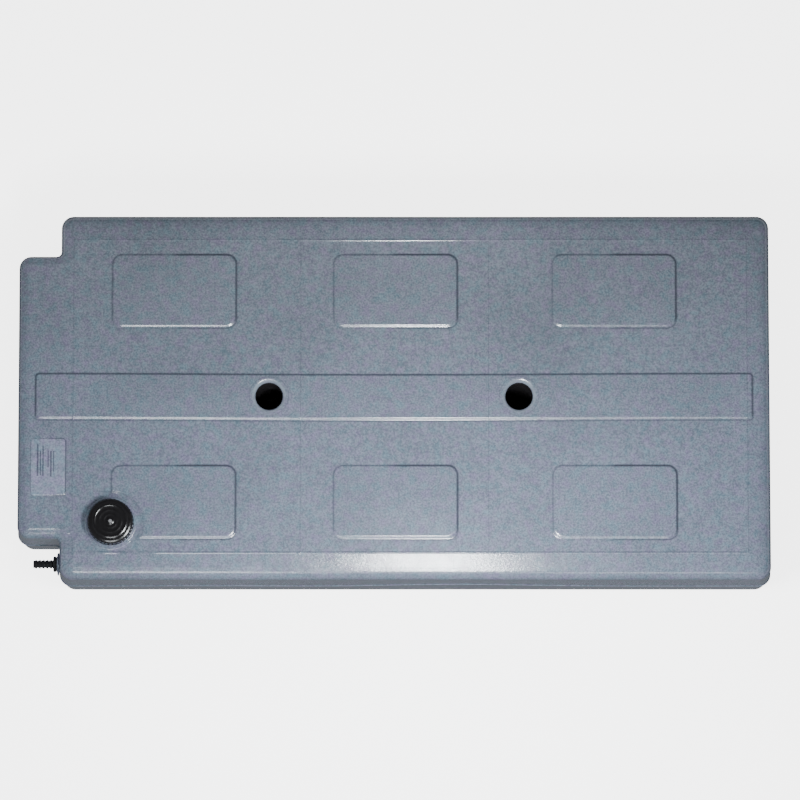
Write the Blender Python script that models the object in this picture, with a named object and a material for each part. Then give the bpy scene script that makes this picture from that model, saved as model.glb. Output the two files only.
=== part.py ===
"""Flat fresh water tank with a screw filler cap and a side hose barb.

Metres, +Z up. The origin is the centre of the tank's underside. +X runs along the length, away
from the notched end, and the filler stands on the top face near the notched end's -Y corner.
"""

import math

import bmesh
import bpy
from mathutils import Matrix, Vector

# ---------------------------------------------------------------- driving dimensions

HALF_LENGTH = 0.6095  # centre to the parting line at either end, 48 in overall
HALF_WIDTH = 0.299  # centre to the parting line on the long sides
FACE_Z = 0.175  # top face
RELIEF = 0.003  # how far panels and strip stand above the face
PARTING_Z = 0.0875  # mould parting line
WALL = 0.0055
DRAFT = 0.003  # how far the walls lean in between the parting line and an edge

MAIN_LEFT = -0.5415  # end wall of the full-width body
TAB_HALF_WIDTH = 0.233  # the tab runs from there to -HALF_LENGTH
EDGE_R = 0.015  # rounded edge between face and wall
TAB_EDGE_R = 0.008
CORNER_R = 0.020  # plan radius of the convex corners
NOTCH_R = 0.008  # plan radius of the two inner corners
CREASE_Y = 0.2545  # the face slopes down outside these lines
CREASE_LEFT = -0.517
CREASE_RIGHT = 0.569
BAND_DROP = 0.0035

PANEL_LENGTH = 0.2025
PANEL_WIDTH = 0.1205
PANEL_R = 0.017
PANEL_X = (-0.3548, 0.0023, 0.3554)
PANEL_Y = 0.1719
RELIEF_SLOPE = 0.003  # width of the sloped side of panels and strip

STRIP_HALF_LENGTH = 0.5791
STRIP_HALF_WIDTH = 0.038
STRIP_R = 0.007
LABEL_LOW = (-0.5855, -0.1617)
LABEL_HIGH = (-0.5285, -0.0690)
LABEL_RISE = 0.0012

TUBE_X = 0.2015  # hold-down tubes at plus and minus this
TUBE_R = 0.0215
TUBE_MOUTH_R = 0.0295
TUBE_MOUTH_DEPTH = 0.008

FILLER = Vector((-0.455, -0.206, FACE_Z))
FILLER_CLEAR_R = 0.049  # the panel is cut back to this radius around the filler
BOSS_R = 0.0425
BOSS_RISE = 0.002
FILLER_HOLE_R = 0.0287

NECK_SPIGOT_R = 0.0284
NECK_BORE_R = 0.0255
NECK_R = 0.0296
NECK_FLANGE_R = 0.0365
NECK_FLANGE = (0.0023, 0.0050)  # heights above the face
NECK_TOP = 0.022
THREAD_PITCH = 0.0055
THREAD_ROOT_WIDTH = 0.0024
THREAD_CREST_WIDTH = 0.0012
NECK_CREST_R = 0.0315
CAP_BORE_R = 0.0325
CAP_CREST_R = 0.0303
NECK_THREAD = (0.0085, 1.75)  # height of the first turn above the face, and number of turns
CAP_THREAD_TURNS = 1.5

CAP_BOTTOM = 0.0056
CAP_CEILING = 0.0239
CAP_SHOULDER = 0.0262
CAP_TOP = 0.0276
CAP_SKIRT_R = 0.0375
CAP_SHOULDER_R = 0.0350
CAP_DISC_R = 0.0270
CAP_RIBS = 36
CAP_RIB_DEPTH = 0.0008
VENT_HOLE_R = 0.0023
BREATHER_R = 0.0011
BREATHER_CIRCLE_R = 0.0050
BREATHERS = 4

GASKET_Z = (0.0223, 0.0236)
GASKET_R = (0.0258, 0.0318)

BARB_Y = -0.268
BARB_Z = 0.133
BARB_WALL_X = -0.5401  # outside of the end wall at the barb's height
SOCKET_SPIGOT_R = 0.0142
SOCKET_HOLE_R = 0.0145
SOCKET_FLANGE_R = 0.0175
SOCKET_FLANGE = 0.0025
SOCKET_BORE_R = 0.0100
SOCKET_DEPTH = 0.016
BARB_TIP_X = -0.5815
BARB_RIDGE_R = 0.0071
BARB_ROOT_R = 0.0060
BARB_BORE_R = 0.0043
BARB_RIDGES = 5
BARB_HEX_AF = 0.022
BARB_HEX_LENGTH = 0.0050
BARB_STUB_R = 0.0097
SEAL_THICKNESS = 0.0010

GAP = 0.0003  # left between pieces that touch
ROUND_STEPS = 48
CORNER_STEPS = 5
FULL_TURN = 2 * math.pi


# ---------------------------------------------------------------- scene and material helpers

def clear_scene():
    """Remove every object of the open scene."""
    for ob in list(bpy.data.objects):
        bpy.data.objects.remove(ob, do_unlink=True)


def material(name, colour, roughness):
    """A Principled material with no metal in it."""
    mat = bpy.data.materials.new(name)
    mat.use_nodes = True
    shader = mat.node_tree.nodes["Principled BSDF"]
    shader.inputs["Base Color"].default_value = (*colour, 1.0)
    shader.inputs["Roughness"].default_value = roughness
    shader.inputs["Metallic"].default_value = 0.0
    return mat


def mesh_object(name, points, faces, mat=None):
    """A closed mesh object with its faces pointing out."""
    mesh = bpy.data.meshes.new(name)
    mesh.from_pydata(points, [], faces)
    bm = bmesh.new()
    bm.from_mesh(mesh)
    bmesh.ops.recalc_face_normals(bm, faces=bm.faces)
    bm.to_mesh(mesh)
    bm.free()
    ob = bpy.data.objects.new(name, mesh)
    bpy.context.scene.collection.objects.link(ob)
    if mat:
        mesh.materials.append(mat)
    return ob


def boolean(ob, tool, operation):
    """Combine ob with tool, which is then only a guide."""
    tool.hide_render = True
    tool.display_type = "WIRE"
    step = ob.modifiers.new(tool.name, "BOOLEAN")
    step.operation = operation
    step.solver = "EXACT"
    step.object = tool


def smooth(ob):
    """Smooth shading with the real edges kept sharp."""
    ob.data.shade_smooth()
    ob.data.set_sharp_from_angle(angle=math.radians(35))


# ---------------------------------------------------------------- shape helpers

def loft(name, rings, mat=None):
    """A closed body through rings of equally many points, with flat ends."""
    count = len(rings[0])
    points = [p for ring in rings for p in ring]
    faces = [tuple(range(count)), tuple(range(len(points) - count, len(points)))]
    for row in range(len(rings) - 1):
        for i in range(count):
            j = (i + 1) % count
            base = row * count
            faces.append((base + i, base + j, base + count + j, base + count + i))
    return mesh_object(name, points, faces, mat)


def turned(name, profile, steps=ROUND_STEPS, mat=None, rib=None):
    """A body of revolution about Z from (radius, height) points.

    The profile closes on itself, so the body is a ring, unless it starts and ends at radius zero.
    rib(angle, index) adds to a point's radius.
    """
    solid = profile[0][0] == 0 and profile[-1][0] == 0
    inner = profile[1:-1] if solid else profile
    count = len(inner)
    points = []
    for step in range(steps):
        angle = FULL_TURN * step / steps
        for index, (radius, height) in enumerate(inner):
            r = radius + (rib(angle, index) if rib else 0.0)
            points.append((r * math.cos(angle), r * math.sin(angle), height))
    faces = []
    for step in range(steps):
        here = step * count
        there = (step + 1) % steps * count
        for i in range(count if not solid else count - 1):
            j = (i + 1) % count
            faces.append((here + i, there + i, there + j, here + j))
    if solid:
        points.append((0, 0, profile[0][1]))
        points.append((0, 0, profile[-1][1]))
        for step in range(steps):
            here = step * count
            there = (step + 1) % steps * count
            faces.append((len(points) - 2, there, here))
            faces.append((len(points) - 1, here + count - 1, there + count - 1))
    return mesh_object(name, points, faces, mat)


def thread_ridge(name, root_r, crest_r, start_z, turns, steps=36):
    """A right-hand helical ridge whose foot is sunk into the wall that carries it."""
    sink = 0.0006 if crest_r > root_r else -0.0006
    stations = round(turns * steps)
    fade = steps // 6
    points = []
    for station in range(stations + 1):
        angle = FULL_TURN * station / steps
        z = start_z + THREAD_PITCH * station / steps
        rise = min(1.0, 0.15 + station / fade, 0.15 + (stations - station) / fade)
        top = root_r + (crest_r - root_r) * rise
        foot = root_r - sink
        for radius, height in (
            (foot, z - THREAD_ROOT_WIDTH / 2),
            (top, z - THREAD_CREST_WIDTH / 2),
            (top, z + THREAD_CREST_WIDTH / 2),
            (foot, z + THREAD_ROOT_WIDTH / 2),
        ):
            points.append((radius * math.cos(angle), radius * math.sin(angle), height))
    faces = [(0, 1, 2, 3), tuple(range(len(points) - 4, len(points)))]
    for station in range(stations):
        for i in range(4):
            j = (i + 1) % 4
            base = station * 4
            faces.append((base + i, base + j, base + 4 + j, base + 4 + i))
    return mesh_object(name, points, faces)


def arc(centre, radius, start, end, steps):
    """Points on an arc, both ends included."""
    return [
        (
            centre[0] + radius * math.cos(start + (end - start) * k / steps),
            centre[1] + radius * math.sin(start + (end - start) * k / steps),
        )
        for k in range(steps + 1)
    ]


def rounded_rectangle(low, high, radius, steps=CORNER_STEPS):
    """Plan points of a rectangle with round corners, anticlockwise."""
    (x0, y0), (x1, y1) = low, high
    quarter = math.pi / 2
    points = arc((x1 - radius, y0 + radius), radius, -quarter, 0, steps)
    points += arc((x1 - radius, y1 - radius), radius, 0, quarter, steps)
    points += arc((x0 + radius, y1 - radius), radius, quarter, 2 * quarter, steps)
    points += arc((x0 + radius, y0 + radius), radius, 2 * quarter, 3 * quarter, steps)
    return points


def tank_outline(right, main_left, half_width, tab_left, tab_half, corner_r, notch_r, steps):
    """Plan points of the tank: a rectangle whose two left corners are notched, anticlockwise."""
    quarter = math.pi / 2
    points = arc((right - corner_r, -half_width + corner_r), corner_r, -quarter, 0, steps)
    points += arc((right - corner_r, half_width - corner_r), corner_r, 0, quarter, steps)
    points += arc((main_left + corner_r, half_width - corner_r), corner_r, quarter, 2 * quarter, steps)
    points += arc((main_left - notch_r, tab_half + notch_r), notch_r, 0, -quarter, steps)
    points += arc((tab_left + corner_r, tab_half - corner_r), corner_r, quarter, 2 * quarter, steps)
    points += arc((tab_left + corner_r, -tab_half + corner_r), corner_r, 2 * quarter, 3 * quarter, steps)
    points += arc((main_left - notch_r, -tab_half - notch_r), notch_r, quarter, 0, steps)
    points += arc((main_left + corner_r, -half_width + corner_r), corner_r, 2 * quarter, 3 * quarter, steps)
    return points


def tank_ring(z, inset, tab_inset, corner_r, notch_r, steps=CORNER_STEPS):
    """The tank's outline at one height, drawn in from the parting line."""
    outline = tank_outline(
        HALF_LENGTH - inset,
        MAIN_LEFT + inset,
        HALF_WIDTH - inset,
        -HALF_LENGTH + tab_inset,
        TAB_HALF_WIDTH - tab_inset,
        corner_r,
        notch_r,
        steps,
    )
    return [(x, y, z) for x, y in outline]


def edge_rings(edge_z, outward):
    """Rings round an edge: from the wall, where outward is +1 at the top, to the face."""
    rings = []
    for degrees in (0, 30, 60, 90):
        turn = math.radians(degrees)
        inset = DRAFT + EDGE_R * (1 - math.cos(turn))
        tab_inset = DRAFT + TAB_EDGE_R * (1 - math.cos(turn))
        z = edge_z - outward * EDGE_R * (1 - math.sin(turn))
        corner_r = CORNER_R - 0.6 * EDGE_R * (1 - math.cos(turn))
        rings.append(tank_ring(z, inset, tab_inset, corner_r, NOTCH_R))
    return rings


def raised_pad(name, low, high, radius, rise):
    """A low rounded block with sloped sides, sunk a little into the face."""
    sunk = 0.003
    rings = []
    for z, inset in ((FACE_Z - sunk, 0.0), (FACE_Z, 0.0), (FACE_Z + rise, RELIEF_SLOPE)):
        outline = rounded_rectangle(
            (low[0] + inset, low[1] + inset), (high[0] - inset, high[1] - inset), radius - inset / 2
        )
        rings.append([(x, y, z) for x, y in outline])
    return loft(name, rings)


# ---------------------------------------------------------------- the tank

def outer_body():
    """The slab with rounded edges, drafted walls and a slightly sloped border on its top."""
    rings = list(reversed(edge_rings(0.0, -1)))
    rings.append(tank_ring(PARTING_Z, 0.0, 0.0, CORNER_R, NOTCH_R))
    rings += edge_rings(FACE_Z - BAND_DROP, 1)
    tab_start = DRAFT + TAB_EDGE_R + 0.001
    crease = tank_outline(
        CREASE_RIGHT,
        CREASE_LEFT,
        CREASE_Y,
        -HALF_LENGTH + tab_start,
        TAB_HALF_WIDTH - tab_start,
        0.010,
        NOTCH_R,
        CORNER_STEPS,
    )
    rings.append([(x, y, FACE_Z) for x, y in crease])
    return rings


def cavity_body():
    """The hollow inside the walls."""
    rings = []
    for z, inset in (
        (WALL, EDGE_R),
        (WALL + 0.009, DRAFT + WALL),
        (PARTING_Z, WALL),
        (FACE_Z - BAND_DROP - WALL - 0.009, DRAFT + WALL),
        (FACE_Z - BAND_DROP - WALL, EDGE_R),
        (FACE_Z - WALL, HALF_WIDTH - CREASE_Y),
    ):
        rings.append(tank_ring(z, inset, inset, 0.014, NOTCH_R + WALL, steps=3))
    return loft("cavity", rings)


def tube_bore(name, x):
    """A hold-down tube's bore, wider at both mouths, run past both faces."""
    top = FACE_Z + RELIEF
    past = 0.004
    profile = [(0, top + past), (TUBE_MOUTH_R + past, top + past)]
    for degrees in (90, 60, 30, 0):
        turn = math.radians(degrees)
        flare = (TUBE_MOUTH_R - TUBE_R) * (1 - math.cos(turn))
        profile.append((TUBE_R + flare, top - TUBE_MOUTH_DEPTH * (1 - math.sin(turn))))
    for degrees in (0, 30, 60, 90):
        turn = math.radians(degrees)
        flare = (TUBE_MOUTH_R - TUBE_R) * (1 - math.cos(turn))
        profile.append((TUBE_R + flare, TUBE_MOUTH_DEPTH * (1 - math.sin(turn))))
    profile += [(TUBE_MOUTH_R + past, -past), (0, -past)]
    bore = turned(name, profile, steps=32)
    bore.location.x = x
    return bore


def tube_core(name, x):
    """The tube's outer wall as the hollow inside the tank meets it."""
    top = FACE_Z
    wide = TUBE_MOUTH_R + WALL
    narrow = TUBE_R + WALL
    profile = [
        (0, top),
        (wide, top),
        (wide, top - 0.009),
        (narrow, top - 0.022),
        (narrow, 0.022),
        (wide, 0.009),
        (wide, 0),
        (0, 0),
    ]
    core = turned(name, profile, steps=24)
    core.location.x = x
    return core


def hole(name, radius, low, high, steps=ROUND_STEPS):
    """A plain cylinder along Z, for a hole."""
    return turned(name, [(0, high), (radius, high), (radius, low), (0, low)], steps=steps)


def make_tank_shell():
    """One moulding: outer body, hollow, through tubes, relief and the two fitting holes."""
    plastic = material("tank_plastic", (0.24, 0.27, 0.33), 0.45)
    shell = loft("tank_shell", outer_body(), plastic)

    for column, x in enumerate(PANEL_X):
        for row, y in enumerate((-PANEL_Y, PANEL_Y)):
            low = (x - PANEL_LENGTH / 2, y - PANEL_WIDTH / 2)
            high = (x + PANEL_LENGTH / 2, y + PANEL_WIDTH / 2)
            panel = raised_pad(f"panel_guide_{column}_{row}", low, high, PANEL_R, RELIEF)
            if column == 0 and row == 0:
                clear = hole("filler_clear_guide", FILLER_CLEAR_R, FACE_Z - 0.010, FACE_Z + 0.010)
                clear.location = (FILLER.x, FILLER.y, 0)
                boolean(panel, clear, "DIFFERENCE")
            boolean(shell, panel, "UNION")
    strip = raised_pad(
        "strip_guide",
        (-STRIP_HALF_LENGTH, -STRIP_HALF_WIDTH),
        (STRIP_HALF_LENGTH, STRIP_HALF_WIDTH),
        STRIP_R,
        RELIEF,
    )
    boolean(shell, strip, "UNION")
    label = raised_pad("label_guide", LABEL_LOW, LABEL_HIGH, 0.006, LABEL_RISE)
    boolean(shell, label, "UNION")
    boss = turned(
        "boss_guide",
        [(0, BOSS_RISE), (BOSS_R - 0.0015, BOSS_RISE), (BOSS_R, 0.0), (BOSS_R, -0.002), (0, -0.002)],
    )
    boss.location = FILLER
    boolean(shell, boss, "UNION")

    cavity = cavity_body()
    for side, x in (("left", -TUBE_X), ("right", TUBE_X)):
        boolean(cavity, tube_core(f"tube_core_{side}", x), "DIFFERENCE")
    boolean(shell, cavity, "DIFFERENCE")
    for side, x in (("left", -TUBE_X), ("right", TUBE_X)):
        boolean(shell, tube_bore(f"tube_bore_{side}", x), "DIFFERENCE")
    mouth = hole("filler_hole_guide", FILLER_HOLE_R, -0.025, 0.010)
    mouth.location = FILLER
    boolean(shell, mouth, "DIFFERENCE")
    socket_hole = hole("socket_hole_guide", SOCKET_HOLE_R, -0.012, 0.014, steps=32)
    socket_hole.rotation_euler = (0, -math.pi / 2, 0)
    socket_hole.location = (BARB_WALL_X, BARB_Y, BARB_Z)
    boolean(shell, socket_hole, "DIFFERENCE")
    smooth(shell)
    return shell


# ---------------------------------------------------------------- filler neck, cap and vent

def make_filler_neck():
    """Threaded neck with a weld flange and a spigot that drops into the tank's hole."""
    low, high = NECK_FLANGE
    profile = [
        (NECK_BORE_R, -0.006),
        (NECK_SPIGOT_R, -0.006),
        (NECK_SPIGOT_R, low),
        (NECK_FLANGE_R, low),
        (NECK_FLANGE_R, high - 0.0006),
        (NECK_FLANGE_R - 0.0006, high),
        (NECK_R, high),
        (NECK_R, NECK_TOP - 0.0008),
        (NECK_R - 0.0008, NECK_TOP),
        (NECK_BORE_R, NECK_TOP),
    ]
    neck = turned("filler_neck", profile, mat=material("neck_plastic", (0.02, 0.02, 0.022), 0.4))
    start, turns = NECK_THREAD
    ridge = thread_ridge("neck_thread_guide", NECK_R, NECK_CREST_R, start, turns)
    ridge.location = FILLER
    neck.location = FILLER
    boolean(neck, ridge, "UNION")
    smooth(neck)
    return neck


def make_filler_cap(pivot):
    """Screw cap: ribbed skirt, shoulder, raised disc, inside thread, vent and breather holes."""
    outer = [
        (CAP_SKIRT_R, CAP_BOTTOM),
        (CAP_SKIRT_R, CAP_BOTTOM + 0.0022),
        (CAP_SKIRT_R - 0.0009, CAP_BOTTOM + 0.0030),
        (CAP_SHOULDER_R, CAP_SHOULDER - 0.0030),
        (CAP_SHOULDER_R - 0.0009, CAP_SHOULDER - 0.0009),
        (CAP_SHOULDER_R - 0.0030, CAP_SHOULDER),
        (CAP_DISC_R + 0.0008, CAP_SHOULDER),
        (CAP_DISC_R, CAP_TOP),
        (VENT_HOLE_R, CAP_TOP),
    ]
    inner = [
        (VENT_HOLE_R, CAP_CEILING),
        (CAP_BORE_R, CAP_CEILING),
        (CAP_BORE_R, CAP_BOTTOM),
    ]
    ribbed = (2, 3)

    def rib(angle, index):
        if index not in ribbed:
            return 0.0
        return -CAP_RIB_DEPTH * (round(angle / FULL_TURN * CAP_RIBS * 2) % 2)

    cap = turned(
        "filler_cap",
        outer + inner,
        steps=CAP_RIBS * 2,
        mat=material("cap_plastic", (0.016, 0.014, 0.016), 0.3),
        rib=rib,
    )
    start = NECK_THREAD[0] + THREAD_PITCH / 2
    ridge = thread_ridge("cap_thread_guide", CAP_BORE_R, CAP_CREST_R, start, CAP_THREAD_TURNS)
    ridge.parent = pivot
    boolean(cap, ridge, "UNION")
    for number in range(BREATHERS):
        angle = FULL_TURN * (number + 0.5) / BREATHERS
        breather = hole(f"breather_guide_{number}", BREATHER_R, CAP_CEILING - 0.003, CAP_TOP + 0.003, 12)
        breather.location = (
            BREATHER_CIRCLE_R * math.cos(angle),
            BREATHER_CIRCLE_R * math.sin(angle),
            0,
        )
        breather.parent = pivot
        boolean(cap, breather, "DIFFERENCE")
    cap.parent = pivot
    smooth(cap)
    return cap


def make_cap_gasket():
    """Flat sealing ring between the neck's rim and the cap's ceiling."""
    low, high = GASKET_Z
    inner, outer = GASKET_R
    profile = [(inner, low), (outer, low), (outer, high), (inner, high)]
    gasket = turned("cap_gasket", profile, mat=material("gasket_rubber", (0.05, 0.05, 0.05), 0.7))
    gasket.location = FILLER
    smooth(gasket)
    return gasket


def make_vent_valve(pivot):
    """Umbrella valve: nub on top, stem through the cap, thin umbrella under the ceiling."""
    stem_r = VENT_HOLE_R - GAP
    head_z = CAP_TOP + GAP
    under_z = CAP_CEILING - GAP
    profile = [
        (0, head_z + 0.0014),
        (0.0014, head_z + 0.0012),
        (0.0027, head_z + 0.0006),
        (0.0030, head_z),
        (stem_r, head_z),
        (stem_r, under_z),
        (0.0082, under_z),
        (0.0086, under_z - 0.0005),
        (0.0030, under_z - 0.0014),
        (0, under_z - 0.0016),
    ]
    valve = turned("vent_valve", profile, steps=24, mat=material("valve_rubber", (0.07, 0.07, 0.075), 0.5))
    valve.parent = pivot
    smooth(valve)
    return valve


# ---------------------------------------------------------------- barb and its socket

def lay_along_minus_x(ob):
    """Stand a turned piece on the barb's axis, its own +Z pointing out of the end wall."""
    ob.matrix_world = Matrix.Translation((BARB_WALL_X, BARB_Y, BARB_Z)) @ Matrix.Rotation(
        -math.pi / 2, 4, "Y"
    )


def make_barb_socket():
    """Welded socket: flange against the end wall, spigot through it, blind side open."""
    profile = [
        (SOCKET_BORE_R, -SOCKET_DEPTH),
        (SOCKET_SPIGOT_R, -SOCKET_DEPTH),
        (SOCKET_SPIGOT_R, GAP),
        (SOCKET_FLANGE_R, GAP),
        (SOCKET_FLANGE_R, SOCKET_FLANGE - 0.001),
        (SOCKET_FLANGE_R - 0.001, SOCKET_FLANGE),
        (SOCKET_BORE_R, SOCKET_FLANGE),
    ]
    profile.reverse()
    socket = turned("barb_socket", profile, mat=material("socket_plastic", (0.24, 0.27, 0.33), 0.4))
    lay_along_minus_x(socket)
    smooth(socket)
    return socket


def make_barb_seal():
    """Flat ring between the socket's face and the barb's hexagon."""
    low = SOCKET_FLANGE + GAP
    profile = [
        (BARB_STUB_R + GAP, low),
        (BARB_STUB_R + GAP, low + SEAL_THICKNESS),
        (0.0125, low + SEAL_THICKNESS),
        (0.0125, low),
    ]
    seal = turned("barb_seal", profile, mat=material("seal_rubber", (0.05, 0.05, 0.05), 0.7))
    lay_along_minus_x(seal)
    smooth(seal)
    return seal


def make_hose_barb():
    """Stub in the socket, hexagon, then a nose with saw-tooth ridges, bored right through."""
    hex_low = SOCKET_FLANGE + SEAL_THICKNESS + 2 * GAP
    hex_high = hex_low + BARB_HEX_LENGTH
    tip = BARB_WALL_X - BARB_TIP_X
    pitch = (tip - hex_high - 0.002) / BARB_RIDGES
    profile = [(BARB_BORE_R, -0.010), (BARB_STUB_R - 0.0008, -0.010), (BARB_STUB_R, -0.009)]
    profile += [(BARB_STUB_R, hex_low + 0.001), (BARB_ROOT_R, hex_low + 0.002)]
    for ridge in range(BARB_RIDGES):
        foot = hex_high + 0.002 + ridge * pitch
        profile += [(BARB_ROOT_R, foot), (BARB_RIDGE_R, foot + 0.0004), (BARB_RIDGE_R, foot + 0.0014)]
    profile += [(BARB_ROOT_R - 0.0004, tip), (BARB_BORE_R, tip)]
    profile.reverse()
    barb = turned("hose_barb", profile, steps=32, mat=material("barb_plastic", (0.03, 0.03, 0.034), 0.35))

    across = BARB_HEX_AF / math.sqrt(3)
    rings = []
    for z, scale in (
        (hex_low, 0.93),
        (hex_low + 0.0008, 1.0),
        (hex_high - 0.0008, 1.0),
        (hex_high, 0.93),
    ):
        rings.append(
            [
                (across * scale * math.cos(k * math.pi / 3), across * scale * math.sin(k * math.pi / 3), z)
                for k in range(6)
            ]
        )
    hexagon = loft("barb_hex_guide", rings)
    through = hole("barb_hex_bore_guide", BARB_ROOT_R - 0.0009, hex_low - 0.005, hex_high + 0.005, 32)
    lay_along_minus_x(barb)
    lay_along_minus_x(hexagon)
    lay_along_minus_x(through)
    boolean(hexagon, through, "DIFFERENCE")
    boolean(barb, hexagon, "UNION")
    smooth(barb)
    return barb


# ---------------------------------------------------------------- build

def build():
    clear_scene()
    make_tank_shell()
    make_filler_neck()
    make_cap_gasket()
    cap_axis = bpy.data.objects.new("cap_axis", None)
    cap_axis.location = FILLER
    bpy.context.scene.collection.objects.link(cap_axis)
    make_filler_cap(cap_axis)
    make_vent_valve(cap_axis)
    make_barb_socket()
    make_barb_seal()
    make_hose_barb()
    bpy.context.view_layer.update()


build()
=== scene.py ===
"""Looks of the flat fresh water tank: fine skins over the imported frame, materials, light and camera."""

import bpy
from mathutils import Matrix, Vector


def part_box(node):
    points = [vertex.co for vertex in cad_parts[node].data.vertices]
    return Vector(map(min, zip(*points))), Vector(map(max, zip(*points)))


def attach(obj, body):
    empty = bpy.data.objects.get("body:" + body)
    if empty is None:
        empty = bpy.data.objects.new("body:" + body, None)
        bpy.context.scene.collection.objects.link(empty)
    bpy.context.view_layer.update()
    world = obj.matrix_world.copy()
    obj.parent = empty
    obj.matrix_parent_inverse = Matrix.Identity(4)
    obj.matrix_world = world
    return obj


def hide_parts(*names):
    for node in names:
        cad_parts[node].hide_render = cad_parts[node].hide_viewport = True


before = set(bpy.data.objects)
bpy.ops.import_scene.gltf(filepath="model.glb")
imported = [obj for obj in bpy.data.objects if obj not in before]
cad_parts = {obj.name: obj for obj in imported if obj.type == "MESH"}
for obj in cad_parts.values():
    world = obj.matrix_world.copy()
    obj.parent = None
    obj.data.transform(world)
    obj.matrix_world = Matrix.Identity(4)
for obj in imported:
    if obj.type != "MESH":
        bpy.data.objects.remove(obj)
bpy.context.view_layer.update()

import math

import bmesh
import bpy
import numpy as np
from mathutils import Matrix, Vector

# ---- dimensions, in metres

SHELL_HIGH = Vector(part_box("tank_shell")[1])
CAP_LOW, CAP_HIGH = (Vector(corner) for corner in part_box("filler_cap"))
BARB_LOW, BARB_HIGH = (Vector(corner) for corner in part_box("hose_barb"))

RELIEF = 0.003  # the CAD's panels and strip above its face
HALF_LENGTH = SHELL_HIGH.x
HALF_WIDTH = SHELL_HIGH.y
FACE_Z = SHELL_HIGH.z - RELIEF
PARTING_Z = FACE_Z / 2
WALL = 0.0055
DRAFT = 0.003  # how far a wall leans in between the parting line and an edge

MAIN_LEFT = -0.5415  # the end wall on both sides of the tab
TAB_HALF_WIDTH = 0.233
EDGE_R = 0.015
TAB_EDGE_R = 0.008
CORNER_R = 0.02
NOTCH_R = 0.008
CREASE_Y = 0.2545  # the flat face ends at the creases, and a sloped border follows
CREASE_LEFT = -0.517
CREASE_RIGHT = 0.569
BAND_DROP = 0.0035  # how far the border falls
EDGE_Z = FACE_Z - BAND_DROP
FLASH = 0.0009  # how far the parting flash stands out

PANEL_HALF = (0.10125, 0.06025)
PANEL_R = 0.017
PANEL_X = (-0.3548, 0.0023, 0.3554)
PANEL_Y = 0.1719
PANEL_RISE = 0.00165  # at its edge; the rest is crown
PANEL_CROWN = 0.0008
PANEL_CROWN_WIDTH = 0.055
STRIP_HALF = (0.5791, 0.038)
STRIP_R = 0.007
STRIP_RISE = 0.0017
STRIP_CROWN = 0.0006
STRIP_CROWN_WIDTH = 0.034
CROWN_START = 0.004  # inside the edge
NEAR_SLOPE = 0.0053  # width of the relief's slopes that face -Y
FAR_SLOPE = 0.0034  # and of the others
FAR_SHADE_HALF = 0.0036  # half width of the painted shade on a far slope
NEAR_FOOT_SHADE_HALF = 0.0022  # and of the painted shade at the foot of a near one

LABEL_CENTRE = (-0.557, -0.11535)
LABEL_HALF = (0.0285, 0.04635)
LABEL_R = 0.006
LABEL_RISE = 0.0012
LABEL_SLOPE = 0.0014
BAR_R = 0.002
BAR_RISE = 0.0003
BAR_SLOPE = 0.0012
LABEL_BARS = [  # centre and half size
    ((LABEL_CENTRE[0] + off_x, LABEL_CENTRE[1] + off_y), half)
    for off_x, off_y, half in (
        (-0.0165, 0.011, (0.0017, 0.026)),
        (-0.012, 0.006, (0.0012, 0.02)),
        (-0.0078, 0.01, (0.0013, 0.025)),
        (0.0004, 0.013, (0.0014, 0.014)),
        (0.0048, 0.005, (0.0016, 0.021)),
        (0.0092, 0.009, (0.0012, 0.017)),
    )
]

SEAM_X = 0.1515
SEAM_HALF = 0.0008
SEAM_RISE = 0.0004
CREASE_RISE = 0.00034
CREASE_HALF = 0.0015
END_CREASE_RISE = 0.00025
END_CREASE_HALF = 0.0012
TICK = (-0.163, 0.001)  # a small raised mark on the strip
TICK_HALF = (0.006, 0.0009)
TICK_RISE = 0.0004
SAG = 0.0008

TUBE_CENTRES = [(-0.2015, 0.0), (0.2015, 0.0)]
TUBE_R = 0.0215
TUBE_MOUTH_R = 0.0295
TUBE_MOUTH_DEPTH = 0.008
TUBE_TOP = FACE_Z + STRIP_RISE + 0.0004
MOUTH_BLEND = 0.0025  # from the mouth's level to the strip's

FILLER = Vector((*((CAP_LOW + CAP_HIGH) / 2).xy, FACE_Z))
FILLER_CLEAR_R = 0.049  # the panels are cut back to this radius
FILLER_HOLE_R = 0.0287
BOSS_R = 0.0425
BOSS_RISE = 0.002
BOSS_SLOPE = 0.002
HOLLOW_R = 0.075  # the room below the filler hole that can be seen through it
HOLLOW_CORNER = 0.005

FULL_TURN = 2 * math.pi
QUARTER = math.pi / 2


# ---- mesh helpers

def add_object(name, data):
    ob = bpy.data.objects.new(name, data)
    bpy.context.scene.collection.objects.link(ob)
    return ob


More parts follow.
